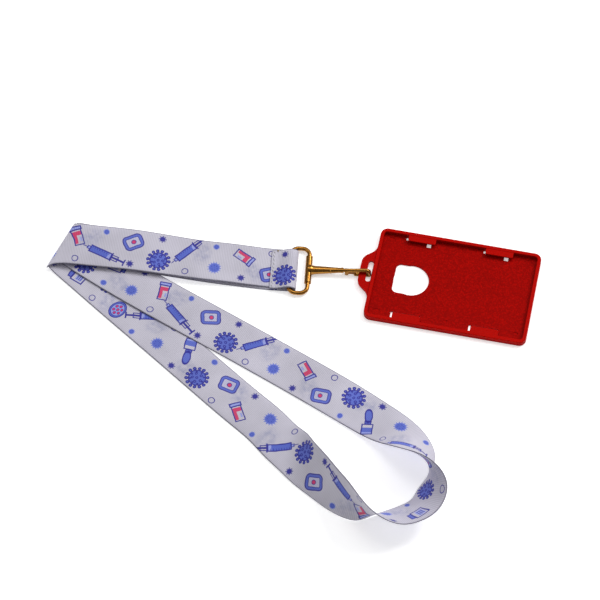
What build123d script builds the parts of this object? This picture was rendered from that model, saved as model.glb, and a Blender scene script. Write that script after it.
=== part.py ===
from build123d import *
import math
import os

import numpy as np

# Lanyard badge holder: a printed 25 mm ribbon, a brass-plated clip and a rigid open-faced card holder.
# Millimetres. Origin at the centre of the card holder's back face, +X along the holder away from its
# tab, +Z up out of the card pocket. The whole object lies on the plane z = 0.

# card holder
HOLDER_LENGTH = 90.6
HOLDER_WIDTH = 58.6
HOLDER_DEPTH = 4.0
RIM = 2.0
FLOOR = 1.2
CORNER_RADIUS = 4.0
LIP_LENGTH = 15.5
LIP_REACH = 3.6
LIP_THICKNESS = 0.9
LIP_X = 21.8
LIP_SLOT_LENGTH = 16.5
LIP_SLOT_SHIFT = -0.75
LIP_SLOT_WIDTHS = {1: 2.0, -1: 5.5}
NOTCH_LENGTH = 2.4
NOTCH_WIDTH = 4.5
NOTCH_SHIFT = 4.1
WALL_INSET = 0.05
THUMB_HOLE_X = -23.4
THUMB_HOLE_RADIUS = 9.8
THUMB_HOLE_LEFT = -33.0
EJECTOR_DIAMETER = 4.2
EJECTOR_DEPTH = 0.2
EJECTOR_X = 38.6
EJECTOR_Y = 23.6
TAB_TIP_X = -52.4
TAB_TIP_HALF = 8.6
TAB_BASE_HALF = 17.0
TAB_BOTTOM = 1.75
TAB_TOP = 3.25
SLOT_X = -46.9
SLOT_LENGTH = 13.6
SLOT_WIDTH = 2.8

# clip, built in its own frame: x along the clip from the cross tube, z up from the table
CLIP_PLACE = Location((-80.3, -5.3, 0), (0, 0, 7.5))
CLIP_SLOPE = 5.1
TUBE_Z = 2.2
TUBE_DIAMETER = 3.8
TUBE_LENGTH = 17.0
RUNNING_GAP = 0.05
RING_WIRE = 2.4
RING_GAP = 8.0
RING_INNER_LENGTH = 26.5
RING_CORNER = 4.2
RING_SHIFT = -0.8
BARREL_BASE = 4.8
BARREL_END = 3.0
BARREL_LENGTH = 18.2
FLARE_DIAMETER = 6.0
FLARE_LENGTH = 3.6
STEM_DIAMETER = 1.6
STEM_START = 8.6
GROOVE_DIAMETER = 0.9
GROOVE_WIDTH = 1.1
STEM_PIN_X = 12.3
STEM_PIN_OFFSET = -0.95
STEM_PIN_DIAMETER = 0.8
COLLAR_DIAMETER = 3.2
COLLAR_GAP = 0.1
COLLAR_LENGTH = 1.2
HOOK_WIRE = 2.2
HOOK_X = 33.7
HOOK_BEND = 1.7
BEAK_BOTTOM = 0.1
BEAK_TOP = 1.45
BEAK_WIDTH = 2.4
BEAK_TIP_X = 25.0
GATE_PIVOT_X = 21.2
GATE_PIVOT_Z = 2.1
GATE_HUB = 1.6
GATE_PIN = 0.8
GATE_WIDTH = 1.5
GATE_THICKNESS = 0.65
GATE_END_X = 26.4
CHEEK_THICKNESS = 0.5
CHEEK_GAP = 0.1
SPRING_WIRE = 0.2
SPRING_TURNS = 3

# ribbon
RIBBON_WIDTH = 25.0
RIBBON_THICKNESS = 0.8
STITCH_X = -19.6
STITCH_COUNT = 10
STITCH_DIAMETER = 0.34
STITCH_LENGTH = 2.1
STITCH_SLANT = 24.0
STRAP_SHIFT = -1.0
STUB_TOP = 2.78

# Ribbon stations, end to end: centre x, y, z, then the direction across the ribbon.
ROUTE = [
    (-100.8, -9.0, 2.35, 0.13, -0.99, 0),
    (-97.5, -8.6, 2.45, 0.13, -0.99, 0),
    (-93.8, -8.1, 3.7, 0.13, -0.99, 0),
    (-90.3, -7.6, 4.75, 0.13, -0.99, 0),
    (-87.7, -7.3, 4.1, 0.13, -0.99, 0),
    (-86.6, -7.1, 2.5, 0.13, -0.99, 0),
    (-87.9, -7.3, 0.8, 0.13, -0.99, 0),
    (-91.1, -7.7, 0.45, 0.13, -0.99, 0),
    (-100, -8.8, 0.45, 0.10, -0.99, 0),
    (-112, -9.7, 0.5, 0.05, -1, 0),
    (-132, -11, 0.9, 0.02, -1, 0),
    (-157, -12.4, 2.4, -0.03, -1, 0),
    (-180, -13, 3.0, -0.10, -0.99, 0),
    (-200, -13.4, 3.3, -0.16, -0.98, 0.02),
    (-211, -13.6, 3.4, -0.18, -0.98, 0.03),
    (-214.4, -14.0, 3.1, -0.18, -0.98, 0.02),
    (-215.4, -14.3, 2.4, -0.18, -0.98, 0.01),
    (-214.4, -14.9, 1.65, -0.18, -0.98, 0),
    (-211, -16.3, 1.4, -0.20, -0.98, 0),
    (-195, -23.6, 1.4, -0.28, -0.96, 0),
    (-160, -38, 1.4, -0.36, -0.93, 0),
    (-120, -53, 0.9, -0.36, -0.93, 0),
    (-80, -68.3, 0.65, -0.37, -0.93, 0),
    (-45, -82.6, 1.0, -0.39, -0.92, 0),
    (-25, -91.5, 1.6, -0.45, -0.89, 0.09),
    (-10, -100.5, 6.5, -0.67, -0.68, 0.29),
    (1, -111, 12.5, -0.63, -0.37, 0.68),
    (8, -119, 13, 0, -0.17, 0.98),
    (11.5, -129, 10.5, 0.62, -0.16, 0.77),
    (9.5, -139, 8.3, 0.64, -0.44, 0.63),
    (3, -146, 8.3, 0.51, -0.6, 0.62),
    (-6, -151, 9.9, 0.32, -0.63, 0.71),
    (-17, -151.8, 13.0, -0.02, -0.34, 0.94),
    (-28.4, -147.4, 12.2, -0.20, 0.38, 0.9),
    (-38.1, -141.8, 10.5, -0.15, 0.66, 0.74),
    (-48.2, -134.5, 8.8, -0.05, 0.80, 0.6),
    (-57.4, -127.2, 6.4, 0.07, 0.90, 0.43),
    (-65.3, -120.2, 3.4, 0.26, 0.94, 0.20),
    (-74.1, -113.5, 1.4, 0.42, 0.90, 0.05),
    (-84, -105.6, 0.65, 0.50, 0.87, 0.01),
    (-100, -95.5, 0.45, 0.54, 0.84, 0),
    (-140, -69.8, 0.45, 0.54, 0.84, 0),
    (-180, -44.2, 0.45, 0.48, 0.87, 0),
    (-205, -28, 0.45, 0.37, 0.93, 0),
    (-213.4, -22.6, 0.8, 0.28, 0.96, 0),
    (-217.9, -19.3, 2.4, 0.28, 0.96, 0.03),
    (-218.4, -18.2, 4.0, 0.28, 0.96, 0.05),
    (-214.8, -17.1, 5.6, 0.28, 0.96, 0.09),
    (-205, -16, 5.9, 0.19, 0.98, 0.10),
    (-190, -14.6, 5.6, 0.10, 0.99, 0.09),
    (-172, -13.2, 5.1, 0.03, 1, 0.07),
    (-143, -11.9, 4.2, -0.02, 1, 0),
    (-125, -10, 3.1, -0.05, 1, 0),
    (-110, -8.6, 1.9, -0.08, 1, 0),
    (-102, -7.8, 1.45, -0.09, 1, 0),
    (-95.5, -7.1, 1.4, -0.10, 0.99, 0),
]
STEPS_PER_SPAN = 4


def natural_spline(knots, points, where):
    """Second derivatives are zero at both ends and continuous at every knot."""
    count = len(knots)
    gap = np.diff(knots)
    system = np.eye(count)
    right = np.zeros_like(points)
    for i in range(1, count - 1):
        system[i, i - 1:i + 2] = gap[i - 1], 2 * (gap[i - 1] + gap[i]), gap[i]
        right[i] = 6 * ((points[i + 1] - points[i]) / gap[i] - (points[i] - points[i - 1]) / gap[i - 1])
    bend = np.linalg.solve(system, right)
    span = np.clip(np.searchsorted(knots, where, side="right") - 1, 0, count - 2)
    h = gap[span][:, None]
    a = (knots[span + 1] - where)[:, None] / h
    b = 1 - a
    curve = a * points[span] + b * points[span + 1]
    return curve + ((a**3 - a) * bend[span] + (b**3 - b) * bend[span + 1]) * h * h / 6


def ribbon_sections():
    """Centre, across, tangent and normal at each section of the ribbon."""
    route = np.array(ROUTE, float)
    chords = np.linalg.norm(np.diff(route[:, :3], axis=0), axis=1)
    knots = np.concatenate([[0], np.cumsum(np.sqrt(chords))])
    parts = [np.linspace(a, b, STEPS_PER_SPAN, endpoint=False) for a, b in zip(knots, knots[1:])]
    where = np.concatenate(parts + [knots[-1:]])
    values = natural_spline(knots, route, where)
    centre = values[:, :3]
    across = values[:, 3:] / np.linalg.norm(values[:, 3:], axis=1)[:, None]
    tangent = np.gradient(centre, where, axis=0)
    tangent /= np.linalg.norm(tangent, axis=1)[:, None]
    normal = np.cross(across, tangent)
    normal /= np.linalg.norm(normal, axis=1)[:, None]
    sine = np.linalg.norm(np.cross(across, tangent), axis=1)[:, None]
    return centre, across * RIBBON_WIDTH / 2 / sine, normal * RIBBON_THICKNESS / 2


def lanyard_ribbon():
    centre, half, lift = ribbon_sections()
    wires = []
    for c, w, n in zip(centre, half, lift):
        corners = [c - w - n, c + w - n, c + w + n, c - w + n]
        wires.append(Wire.make_polygon([Vector(*p) for p in corners], close=True))
    length = np.linalg.norm(np.diff(centre, axis=0), axis=1).sum()
    print("ribbon length", round(float(length), 1))
    return Solid.make_loft(wires, ruled=True)


def seam_stitches():
    """A row of slanted lock stitches across the sewn end."""
    pitch = (RIBBON_WIDTH - 3.0) / (STITCH_COUNT - 1)
    stitches = []
    for i in range(STITCH_COUNT):
        y = STRAP_SHIFT - RIBBON_WIDTH / 2 + 1.5 + i * pitch
        place = Location((STITCH_X, y, STUB_TOP + STITCH_DIAMETER / 2), (0, 0, STITCH_SLANT))
        stitches.append(place * Rot(90, 0, 0) * Cylinder(STITCH_DIAMETER / 2, STITCH_LENGTH))
    return CLIP_PLACE * Compound(children=stitches)


def seam_end_knot():
    y = STRAP_SHIFT + RIBBON_WIDTH / 2 - 0.7
    return CLIP_PLACE * (Pos(STITCH_X + 1.9, y, STUB_TOP + 0.33) * Cylinder(0.55, 0.5))


def ring_loop():
    width = RING_GAP + RING_WIRE
    length = RING_INNER_LENGTH + RING_WIRE
    path = Pos(-width / 2, RING_SHIFT, TUBE_Z) * RectangleRounded(width, length, RING_CORNER).wire()
    start = path @ 0
    section = Plane(origin=start, z_dir=path % 0) * Circle(RING_WIRE / 2)
    return CLIP_PLACE * sweep(section, path=path)


def clip_axis(distance):
    """Turns the clip's sloping axis onto local X, with the origin at a distance along it."""
    return Pos(0, 0, TUBE_Z) * Rot(0, -CLIP_SLOPE, 0) * Pos(distance, 0, 0)


def turned(profile_points):
    """A solid of revolution about the clip's axis from (distance, radius) points."""
    outline = make_face(Polyline(*[(x, r, 0) for x, r in profile_points], close=True))
    return revolve(outline, axis=Axis.X)


def barrel_head():
    """Cross tube with the tapered barrel that the hook's stem turns in."""
    shell = turned([
        (0, 0), (0, FLARE_DIAMETER / 2), (1.7, FLARE_DIAMETER / 2), (2.5, 2.6),
        (FLARE_LENGTH, BARREL_BASE / 2),
        (BARREL_LENGTH - 1.4, BARREL_END / 2), (BARREL_LENGTH, BARREL_END / 2), (BARREL_LENGTH, 0)])
    bore = Pos((BARREL_LENGTH + STEM_START) / 2, 0, 0) * Rot(0, 90, 0) * Cylinder(
        STEM_DIAMETER / 2 + RUNNING_GAP, BARREL_LENGTH - STEM_START + 0.4)
    pin_hole = stem_pin_shape(4.0)
    tube = Rot(90, 0, 0) * Cylinder(TUBE_DIAMETER / 2, TUBE_LENGTH)
    keep = Rot(90, 0, 0) * Cylinder(FLARE_DIAMETER / 2 + 0.01, TUBE_LENGTH * 0.5)
    nose = Pos(-FLARE_DIAMETER / 2, 0, 0) * Box(FLARE_DIAMETER, 20, 20)
    body = tube + ((shell - bore - pin_hole) - (nose & keep))
    wire_bore = Rot(90, 0, 0) * Cylinder(RING_WIRE / 2 + RUNNING_GAP, TUBE_LENGTH + 1)
    return CLIP_PLACE * clip_axis(0) * (body - wire_bore)


def stem_pin_shape(length):
    return Pos(STEM_PIN_X, STEM_PIN_OFFSET, 0) * Cylinder(STEM_PIN_DIAMETER / 2, length)


def stem_pin():
    return CLIP_PLACE * clip_axis(0) * stem_pin_shape(3.2)


def hook_stem():
    start = STEM_START + 0.2
    groove = STEM_PIN_X - GROOVE_WIDTH / 2
    collar = BARREL_LENGTH + COLLAR_GAP
    stem_r = STEM_DIAMETER / 2
    return turned([
        (start, 0), (start, stem_r), (groove, stem_r), (groove, GROOVE_DIAMETER / 2),
        (groove + GROOVE_WIDTH, GROOVE_DIAMETER / 2), (groove + GROOVE_WIDTH, stem_r), (collar, stem_r),
        (collar, COLLAR_DIAMETER / 2), (collar + COLLAR_LENGTH, COLLAR_DIAMETER / 2),
        (collar + COLLAR_LENGTH, 0)])


def swivel_hook():
    """Stem and collar, the wire that goes down through the tab's slot, the beak and the gate's cheeks."""
    slope = math.radians(CLIP_SLOPE)
    start_x = (BARREL_LENGTH + 0.6) * math.cos(slope)
    start = (start_x, 0, TUBE_Z + start_x * math.tan(slope))
    knee = (HOOK_X, 0, TUBE_Z + HOOK_X * math.tan(slope))
    foot = (HOOK_X, 0, (BEAK_BOTTOM + BEAK_TOP) / 2)
    path = FilletPolyline(start, knee, foot, radius=HOOK_BEND)
    wire = sweep(Plane(origin=start, z_dir=path % 0) * Circle(HOOK_WIRE / 2), path=path)
    beak_tip = BEAK_TIP_X + BEAK_WIDTH / 2
    flat = SlotCenterToCenter(HOOK_X - beak_tip, BEAK_WIDTH)
    beak = Pos((HOOK_X + beak_tip) / 2, 0, BEAK_BOTTOM) * extrude(flat, BEAK_TOP - BEAK_BOTTOM)
    beak = fillet(beak.edges().group_by(Axis.Z)[0] + beak.edges().group_by(Axis.Z)[-1], 0.35)
    rod_z = TUBE_Z + GATE_PIVOT_X * math.tan(slope)
    cheek_y = GATE_WIDTH / 2 + CHEEK_GAP + CHEEK_THICKNESS / 2
    cheek_height = rod_z - GATE_PIVOT_Z + 0.4
    cheek = Box(2.2, CHEEK_THICKNESS, cheek_height, align=(Align.CENTER, Align.CENTER, Align.MAX))
    round_foot = Rot(90, 0, 0) * Cylinder(1.1, CHEEK_THICKNESS)
    body = wire + beak
    for side in (-1, 1):
        top = Pos(GATE_PIVOT_X, side * cheek_y, rod_z) * cheek
        foot_disc = Pos(GATE_PIVOT_X, side * cheek_y, GATE_PIVOT_Z) * round_foot
        body += top + foot_disc
    body += clip_axis(0) * hook_stem()
    body -= Pos(GATE_PIVOT_X, 0, GATE_PIVOT_Z) * Rot(90, 0, 0) * Cylinder(GATE_PIN / 2, 6)
    return CLIP_PLACE * body


def gate():
    hub_width = GATE_WIDTH * 0.6
    hub_y = -(GATE_WIDTH - hub_width) / 2
    hub = Pos(GATE_PIVOT_X, hub_y, GATE_PIVOT_Z) * Rot(90, 0, 0) * Cylinder(GATE_HUB / 2, hub_width)
    length = GATE_END_X - GATE_PIVOT_X
    low = BEAK_TOP + 0.1
    bar = Box(length, GATE_WIDTH, GATE_THICKNESS)
    bar = Pos(GATE_PIVOT_X + length / 2, 0, low + GATE_THICKNESS / 2) * bar
    bar = fillet(bar.edges().filter_by(Axis.Z).group_by(Axis.X)[-1], 0.5)
    spring_room = Pos(GATE_PIVOT_X, GATE_WIDTH / 2, GATE_PIVOT_Z) * Box(2.4, GATE_WIDTH * 0.8, 2.4)
    body = hub + (bar - spring_room)
    body -= Pos(GATE_PIVOT_X, 0, GATE_PIVOT_Z) * Rot(90, 0, 0) * Cylinder(GATE_PIN / 2 + RUNNING_GAP, 4)
    return CLIP_PLACE * body


def gate_pin():
    length = GATE_WIDTH + 2 * (CHEEK_GAP + CHEEK_THICKNESS) + 0.2
    return CLIP_PLACE * (Pos(GATE_PIVOT_X, 0, GATE_PIVOT_Z) * Rot(90, 0, 0) * Cylinder(GATE_PIN / 2, length))


def gate_spring():
    """Torsion spring about the gate's pin, drawn as closed turns that touch."""
    coil = None
    for i in range(SPRING_TURNS):
        y = GATE_WIDTH / 2 - 0.05 - i * SPRING_WIRE * 0.85
        turn = Pos(GATE_PIVOT_X, y, GATE_PIVOT_Z) * Rot(90, 0, 0) * Torus(GATE_PIN / 2 + 0.2, SPRING_WIRE / 2)
        coil = turn if coil is None else coil + turn
    return CLIP_PLACE * coil


def tab_outline():
    """A rounded tip and a hollow flare that ends inside the holder's short wall."""
    base_x = -HOLDER_LENGTH / 2
    tip = TAB_TIP_X
    edges = [Line((tip, 2.5 - TAB_TIP_HALF), (tip, TAB_TIP_HALF - 2.5))]
    for s in (1, -1):
        shoulder = (tip + 2.0, s * (TAB_TIP_HALF + 1.6))
        flare = (base_x - 2.0, s * (TAB_BASE_HALF - 4.3))
        corner = (base_x, s * TAB_BASE_HALF)
        root = (base_x + RIM / 2, s * TAB_BASE_HALF)
        edges += [
            ThreePointArc((tip, s * (TAB_TIP_HALF - 2.5)), (tip + 0.6, s * (TAB_TIP_HALF - 0.4)), shoulder),
            Line(shoulder, flare),
            ThreePointArc(flare, (base_x - 0.5, s * (TAB_BASE_HALF - 2.1)), corner),
            Line(corner, root),
        ]
    edges.append(Line((base_x + RIM / 2, -TAB_BASE_HALF), (base_x + RIM / 2, TAB_BASE_HALF)))
    return make_face(edges)


def card_tab():
    return Pos(0, 0, TAB_BOTTOM) * extrude(tab_outline(), TAB_TOP - TAB_BOTTOM)


def thumb_hole():
    round_side = Pos(THUMB_HOLE_X, 0, 0) * Circle(THUMB_HOLE_RADIUS)
    flat_length = THUMB_HOLE_X - THUMB_HOLE_LEFT + 4.0
    flat_side = Pos(THUMB_HOLE_LEFT + flat_length / 2, 0, 0) * RectangleRounded(
        flat_length, 2 * THUMB_HOLE_RADIUS - 0.8, 2.9)
    return extrude(round_side + flat_side, FLOOR * 3, both=True)


def card_holder():
    """One moulding: floor, rim, four card lips over slots, thumb hole, six ejector marks and the tab."""
    plan = RectangleRounded(HOLDER_LENGTH, HOLDER_WIDTH, CORNER_RADIUS)
    body = extrude(plan, HOLDER_DEPTH)
    inner_length = HOLDER_LENGTH - 2 * RIM
    inner_width = HOLDER_WIDTH - 2 * RIM
    pocket = RectangleRounded(inner_length, inner_width, CORNER_RADIUS - RIM)
    body = fillet(body.edges().group_by(Axis.Z)[-1], 0.45)
    body = fillet(body.edges().group_by(Axis.Z)[0], 0.4)
    body -= Pos(0, 0, FLOOR) * extrude(pocket, HOLDER_DEPTH)
    body += card_tab()
    body -= thumb_hole()
    for sx in (-1, 1):
        for sy in (-1, 1):
            slot_width = LIP_SLOT_WIDTHS[sy]
            slot_y = sy * (inner_width / 2 - slot_width / 2 - WALL_INSET)
            slot_x = sx * LIP_X + LIP_SLOT_SHIFT
            body -= Pos(slot_x, slot_y, 0) * Box(LIP_SLOT_LENGTH, slot_width, 3 * FLOOR)
            lip = RectangleRounded(LIP_LENGTH, LIP_REACH + 1.2, 0.9)
            lip_y = sy * (inner_width / 2 - LIP_REACH / 2 + 0.6)
            body += Pos(sx * LIP_X, lip_y, HOLDER_DEPTH - 0.15 - LIP_THICKNESS) * extrude(lip, LIP_THICKNESS)
        notch_y = inner_width / 2 - NOTCH_WIDTH / 2 - 2 * WALL_INSET
        body -= Pos(sx * LIP_X + NOTCH_SHIFT, notch_y, 0) * Box(NOTCH_LENGTH, NOTCH_WIDTH, 3 * FLOOR)
    for x in (-EJECTOR_X, 0, EJECTOR_X):
        for sy in (-1, 1):
            body -= Pos(x, sy * EJECTOR_Y, FLOOR) * Cylinder(EJECTOR_DIAMETER / 2, 2 * EJECTOR_DEPTH)
    body -= Pos(SLOT_X, 0, TAB_TOP) * extrude(SlotOverall(SLOT_LENGTH, SLOT_WIDTH, rotation=90), 8, both=True)
    return body


PARTS = {
    "card_holder": card_holder,
    "lanyard_ribbon": lanyard_ribbon,
    "seam_stitches": seam_stitches,
    "seam_end_knot": seam_end_knot,
    "ring_loop": ring_loop,
    "barrel_head": barrel_head,
    "stem_pin": stem_pin,
    "swivel_hook": swivel_hook,
    "gate": gate,
    "gate_pin": gate_pin,
    "gate_spring": gate_spring,
}

os.makedirs("parts", exist_ok=True)
for node, build in PARTS.items():
    export_step(build(), f"parts/{node}.step")
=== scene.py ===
import math

import bpy
import numpy as np
from bpy.props import FloatProperty, FloatVectorProperty, IntProperty, PointerProperty
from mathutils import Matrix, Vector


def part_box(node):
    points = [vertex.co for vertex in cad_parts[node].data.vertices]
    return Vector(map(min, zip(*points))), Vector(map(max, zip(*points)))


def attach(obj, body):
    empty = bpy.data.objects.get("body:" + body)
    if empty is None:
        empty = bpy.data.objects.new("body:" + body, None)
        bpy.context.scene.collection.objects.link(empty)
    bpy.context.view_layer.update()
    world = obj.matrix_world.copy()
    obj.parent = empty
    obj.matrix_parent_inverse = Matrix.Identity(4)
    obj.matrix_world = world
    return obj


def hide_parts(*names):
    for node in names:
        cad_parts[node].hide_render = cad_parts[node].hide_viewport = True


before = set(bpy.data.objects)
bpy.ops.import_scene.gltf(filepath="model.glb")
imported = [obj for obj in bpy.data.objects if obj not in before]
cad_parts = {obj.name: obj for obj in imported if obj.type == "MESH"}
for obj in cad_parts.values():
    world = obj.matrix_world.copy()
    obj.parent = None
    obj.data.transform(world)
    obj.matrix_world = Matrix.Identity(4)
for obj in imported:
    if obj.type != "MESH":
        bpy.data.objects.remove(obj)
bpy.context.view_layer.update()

MM = 0.001

bl_info = {
    "name": "Lanyard badge holder",
    "version": (1, 0, 0),
    "blender": (4, 5, 0),
    "location": "3D View > Sidebar > Badge holder",
    "description": "Printed ribbon, brass clip and red card holder around the packed frame",
    "category": "Object",
}

# The ribbon's stations in millimetres, end to end: centre, then the direction across the ribbon.
ROUTE = [
    (-100.8, -9.0, 2.35, 0.13, -0.99, 0),
    (-97.5, -8.6, 2.45, 0.13, -0.99, 0),
    (-93.8, -8.1, 3.7, 0.13, -0.99, 0),
    (-90.3, -7.6, 4.75, 0.13, -0.99, 0),
    (-87.7, -7.3, 4.1, 0.13, -0.99, 0),
    (-86.6, -7.1, 2.5, 0.13, -0.99, 0),
    (-87.9, -7.3, 0.8, 0.13, -0.99, 0),
    (-91.1, -7.7, 0.45, 0.13, -0.99, 0),
    (-100, -8.8, 0.45, 0.10, -0.99, 0),
    (-112, -9.7, 0.5, 0.05, -1, 0),
    (-132, -11, 0.9, 0.02, -1, 0),
    (-157, -12.4, 2.4, -0.03, -1, 0),
    (-180, -13, 3.0, -0.10, -0.99, 0),
    (-200, -13.4, 3.3, -0.16, -0.98, 0.02),
    (-211, -13.6, 3.4, -0.18, -0.98, 0.03),
    (-214.4, -14.0, 3.1, -0.18, -0.98, 0.02),
    (-215.4, -14.3, 2.4, -0.18, -0.98, 0.01),
    (-214.4, -14.9, 1.65, -0.18, -0.98, 0),
    (-211, -16.3, 1.4, -0.20, -0.98, 0),
    (-195, -23.6, 1.4, -0.28, -0.96, 0),
    (-160, -38, 1.4, -0.36, -0.93, 0),
    (-120, -53, 0.9, -0.36, -0.93, 0),
    (-80, -68.3, 0.65, -0.37, -0.93, 0),
    (-45, -82.6, 1.0, -0.39, -0.92, 0),
    (-25, -91.5, 1.6, -0.45, -0.89, 0.09),
    (-10, -100.5, 6.5, -0.67, -0.68, 0.29),
    (1, -111, 12.5, -0.63, -0.37, 0.68),
    (8, -119, 13, 0, -0.17, 0.98),
    (11.5, -129, 10.5, 0.62, -0.16, 0.77),
    (9.5, -139, 8.3, 0.64, -0.44, 0.63),
    (3, -146, 8.3, 0.51, -0.6, 0.62),
    (-6, -151, 9.9, 0.32, -0.63, 0.71),
    (-17, -151.8, 13.0, -0.02, -0.34, 0.94),
    (-28.4, -147.4, 12.2, -0.20, 0.38, 0.9),
    (-38.1, -141.8, 10.5, -0.15, 0.66, 0.74),
    (-48.2, -134.5, 8.8, -0.05, 0.80, 0.6),
    (-57.4, -127.2, 6.4, 0.07, 0.90, 0.43),
    (-65.3, -120.2, 3.4, 0.26, 0.94, 0.20),
    (-74.1, -113.5, 1.4, 0.42, 0.90, 0.05),
    (-84, -105.6, 0.65, 0.50, 0.87, 0.01),
    (-100, -95.5, 0.45, 0.54, 0.84, 0),
    (-140, -69.8, 0.45, 0.54, 0.84, 0),
    (-180, -44.2, 0.45, 0.48, 0.87, 0),
    (-205, -28, 0.45, 0.37, 0.93, 0),
    (-213.4, -22.6, 0.8, 0.28, 0.96, 0),
    (-217.9, -19.3, 2.4, 0.28, 0.96, 0.03),
    (-218.4, -18.2, 4.0, 0.28, 0.96, 0.05),
    (-214.8, -17.1, 5.6, 0.28, 0.96, 0.09),
    (-205, -16, 5.9, 0.19, 0.98, 0.10),
    (-190, -14.6, 5.6, 0.10, 0.99, 0.09),
    (-172, -13.2, 5.1, 0.03, 1, 0.07),
    (-143, -11.9, 4.2, -0.02, 1, 0),
    (-125, -10, 3.1, -0.05, 1, 0),
    (-110, -8.6, 1.9, -0.08, 1, 0),
    (-102, -7.8, 1.45, -0.09, 1, 0),
    (-95.5, -7.1, 1.4, -0.10, 0.99, 0),
]

# The clip's own frame: x along the clip from the cross tube, turned and placed in the row frame.
CLIP_TURN = math.radians(7.5)
CLIP_ORIGIN = (-80.3 * MM, -5.3 * MM)
SEAM_X = -19.6 * MM
SEAM_SHIFT = -1.0 * MM
SEAM_TOP = 2.78 * MM
SEAM_LENGTH = 25.0 * MM
SEAM_MARGIN = 1.5 * MM
STITCH_ARCH = 0.30 * MM
STITCH_DIP = 0.14 * MM
KNOT_SIZE = (0.17, 0.17, 0.12)
KNOT_RADIUS = 0.15 * MM

# The ribbon's edge: how rows crowd toward it, and how much and how suddenly it thins.
EDGE_CROWDING = 1.35
EDGE_THINNING = 0.55
EDGE_SHARPNESS = 24
# Where the edge band starts across the ribbon and how wide it fades in, in millimetres: painted shade along
# each edge, which also raises the woven edge's bump.
SELVEDGE_SHADE_START = 11.85
SELVEDGE_SHADE_FADE = 0.5
INK_WOBBLE = 0.9 * MM

# The range that a print place's distance off the centre line is stored in.
PLACE_REACH = 50.0 * MM

# The holder's rim, above its floor, in millimetres: where the painted rim highlight starts and how far up it
# ramps to full.
RIM_START = 1.4
RIM_RISE = 2.4

# Each light: name, place in metres, size in metres and power in watts. All aim at one point.
LIGHTS = [
    ("key_light", (0.75, 0.75, 1.15), 0.6, 12.5),
    ("fill_light", (-1.1, -0.5, 1.1), 0.8, 3.0),
    ("top_light", (-0.1, 0.45, 1.7), 0.9, 7.5),
]
LIGHT_AIM = (-0.09, -0.06, 0)
SKY_SOURCE = (0.35, 0.6, 0.72)
SKY_FALLOFF = 2.5


# ---------------------------------------------------------------- shapes

def clip_points(points):
    """Points of the clip's own frame, turned about z and moved to the clip's place."""
    c, s = math.cos(CLIP_TURN), math.sin(CLIP_TURN)
    x, y, z = points[..., 0], points[..., 1], points[..., 2]
    return np.stack([CLIP_ORIGIN[0] + c * x - s * y, CLIP_ORIGIN[1] + s * x + c * y, z], -1)


def natural_spline(knots, points, where):
    """Cubic pieces with equal first and second derivatives at each knot and none at the ends."""
    count = len(knots)
    gap = np.diff(knots)
    system = np.eye(count)
    right = np.zeros_like(points)
    for i in range(1, count - 1):
        system[i, i - 1:i + 2] = gap[i - 1], 2 * (gap[i - 1] + gap[i]), gap[i]
        right[i] = 6 * ((points[i + 1] - points[i]) / gap[i] - (points[i] - points[i - 1]) / gap[i - 1])
    bend = np.linalg.solve(system, right)
    span = np.clip(np.searchsorted(knots, where, side="right") - 1, 0, count - 2)
    h = gap[span][:, None]
    a = (knots[span + 1] - where)[:, None] / h
    b = 1 - a
    curve = a * points[span] + b * points[span + 1]
    return curve + ((a**3 - a) * bend[span] + (b**3 - b) * bend[span + 1]) * h * h / 6


def outward(verts, quads):
    """The quads, turned over if the volume they enclose comes out negative."""
    a, b, c, d = (verts[quads[:, i]] for i in range(4))
    arm = a - verts.mean(0)
    volume = (np.cross(b - a, c - a) * arm).sum() + (np.cross(c - a, d - a) * arm).sum()
    return quads if volume > 0 else quads[:, ::-1]


def put_mesh(name, verts, quads, uv=None, smooth=True):
    """A mesh object from point and quad arrays, with an optional UV pair for each corner."""
    mesh = bpy.data.meshes.new(name)
    mesh.from_pydata(verts.tolist(), [], quads.tolist())
    if uv is not None:
        layer = mesh.uv_layers.new(name="UVMap")
        layer.data.foreach_set("uv", uv.reshape(-1).astype(np.float32))
    mesh.polygons.foreach_set("use_smooth", np.full(len(mesh.polygons), smooth))
    mesh.update()
    obj = bpy.data.objects.new(name, mesh)
    bpy.context.scene.collection.objects.link(obj)
    return obj


def grid_quads(rows, columns, closed_columns=True, closed_rows=False):
    """Vertex numbers of the quads of a grid, wrapping round either way."""
    i = np.arange(rows if closed_rows else rows - 1)[:, None]
    j = np.arange(columns if closed_columns else columns - 1)[None, :]
    i2, j2 = (i + 1) % rows, (j + 1) % columns
    corners = [i * columns + j, i * columns + j2, i2 * columns + j2, i2 * columns + j]
    return np.stack([np.broadcast_to(c, (i.size, j.size)) for c in corners], -1).reshape(-1, 4)


def tube(path, radius, sides, closed=False):
    """A circle of the given radius carried along a path; an open tube is left open at each end.
    The circle's axes are the path's direction crossed with the mean normal, kept square to the path."""
    step = np.roll(path, -1, 0) - np.roll(path, 1, 0) if closed else np.gradient(path, axis=0)
    step /= np.linalg.norm(step, axis=1)[:, None]
    spread = np.linalg.svd(path - path.mean(0))[2]
    normal = spread[2] - (step @ spread[2])[:, None] * step
    normal /= np.linalg.norm(normal, axis=1)[:, None]
    side = np.cross(step, normal)
    turn = np.linspace(0, 2 * np.pi, sides, endpoint=False)[None, :, None]
    size = np.broadcast_to(np.asarray(radius, float), (len(path),))[:, None, None]
    ring = path[:, None] + size * (np.cos(turn) * normal[:, None] + np.sin(turn) * side[:, None])
    quads = grid_quads(len(path), sides, True, closed)
    return ring.reshape(-1, 3), quads


def join(shapes):
    """Several (verts, quads) shapes as one."""
    start = np.cumsum([0] + [len(v) for v, q in shapes[:-1]])
    verts = np.concatenate([v for v, q in shapes])
    quads = np.concatenate([outward(v, q) + s for (v, q), s in zip(shapes, start)])
    return verts, quads


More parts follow.
